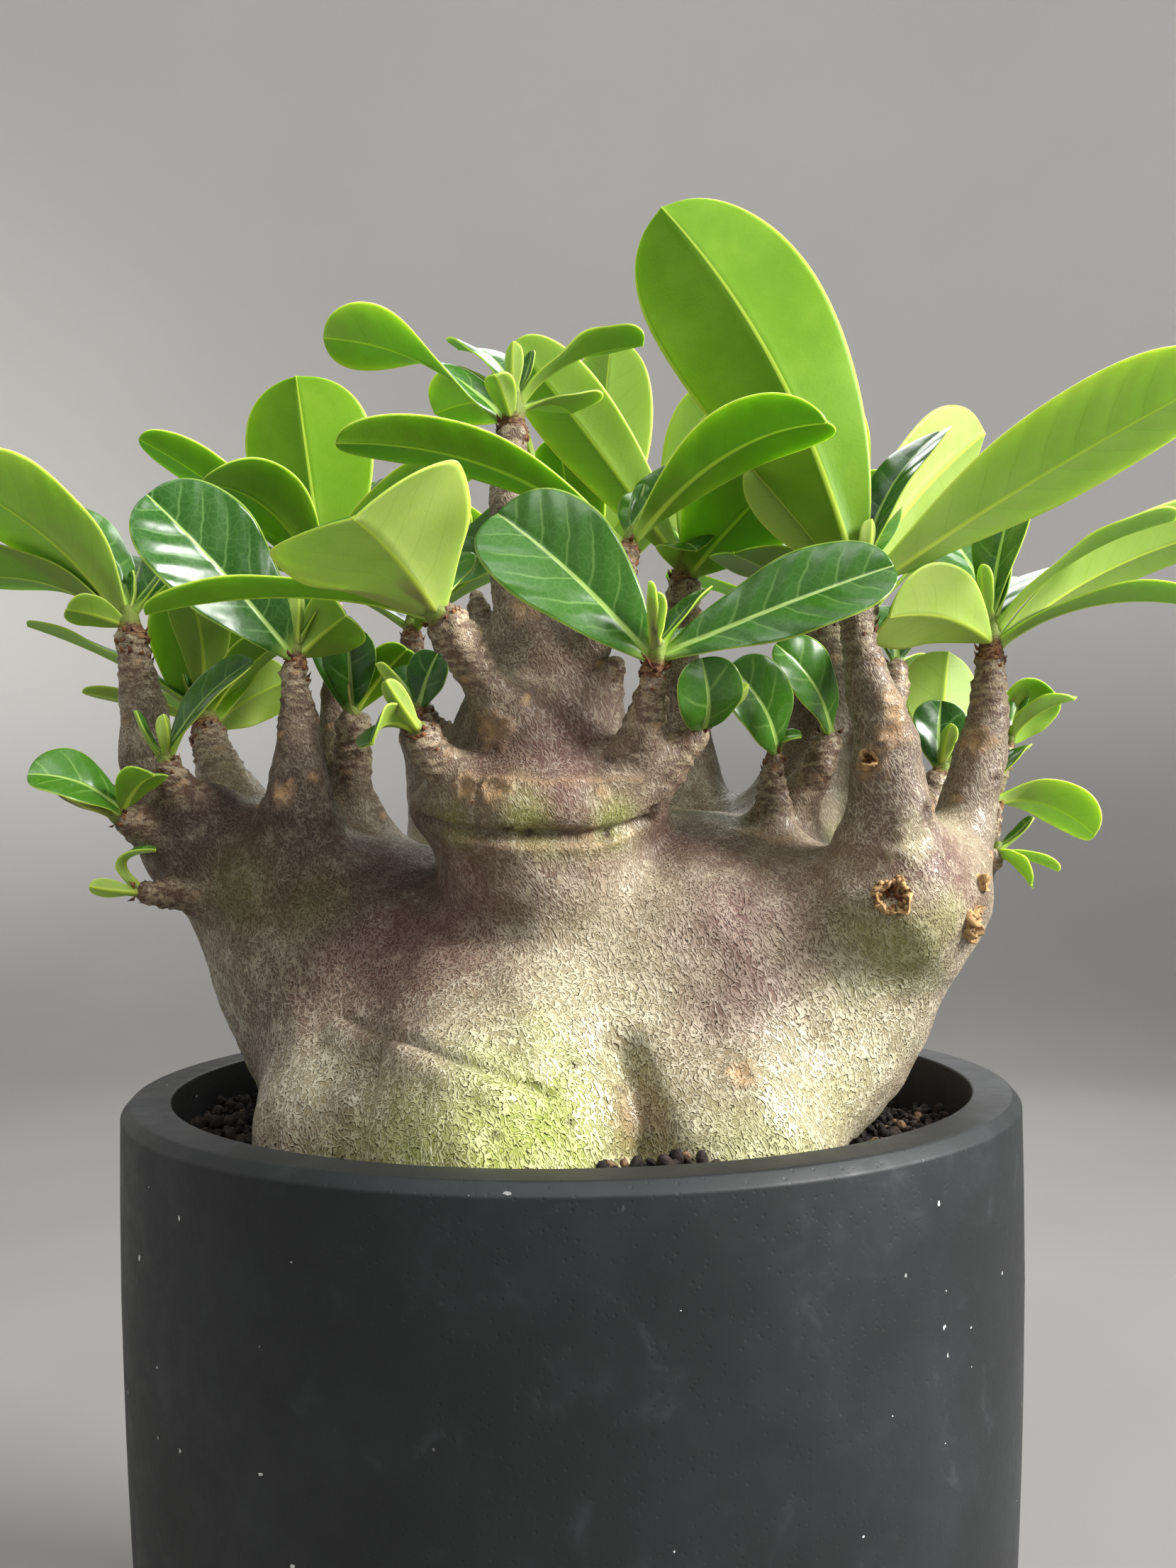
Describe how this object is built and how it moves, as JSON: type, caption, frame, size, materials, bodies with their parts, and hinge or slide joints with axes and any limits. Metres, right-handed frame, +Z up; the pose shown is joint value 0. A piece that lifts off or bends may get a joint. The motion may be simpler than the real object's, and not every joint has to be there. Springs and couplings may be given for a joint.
{
  "type": "potted desert rose",
  "caption": "Desert rose with a swollen, many-branched trunk and paddle-shaped leaves, planted in gritty mix in a round matt charcoal pot with a chamfered rim.",
  "frame": {"origin": "centre of the pot's flat bottom, where the pot rests on the table", "axes": "+Z up out of the pot, -Y towards the front of the plant, +X to the right seen from the front"},
  "size_m": [0.2512, 0.1665, 0.305],
  "materials": {
    "pot": "matt, slightly satin on the rim",
    "soil": "rough volcanic grit",
    "bark": "matt, finely wrinkled",
    "leaf": "leathery, glossy above"
  },
  "bodies": {
    "root": {"pot": "pot", "soil": "soil", "trunk": "bark", "leaves_tower": "leaf", "leaves_left_outer": "leaf", "leaves_left_inner": "leaf", "leaves_left_back": "leaf", "leaves_left_rear": "leaf", "leaves_front_left_twig": "leaf", "leaves_low_left_spur": "leaf", "leaves_front_right_twig": "leaf", "leaves_low_right_spur": "leaf", "leaves_tower_side_twig": "leaf", "leaves_front_spur": "leaf", "leaves_right_spur": "leaf", "leaves_right_rear": "leaf", "leaves_middle_rear": "leaf", "leaves_right_front": "leaf", "leaves_right_outer": "leaf", "leaves_back_fork": "leaf", "leaves_back_left_fork": "leaf", "leaves_back_right_fork": "leaf", "leaves_crotch_spur": "leaf", "leaves_upper_side_spur": "leaf", "leaves_lower_side_spur": "leaf", "leaves_left_low_spur": "leaf", "leaves_left_middle_spur": "leaf", "leaves_left_bent_spur": "leaf", "leaves_left_low_rear": "leaf", "leaves_tower_left_twig": "leaf", "leaves_right_front_twig": "leaf", "leaves_low_side_twig": "leaf"}
  },
  "joints": []
}
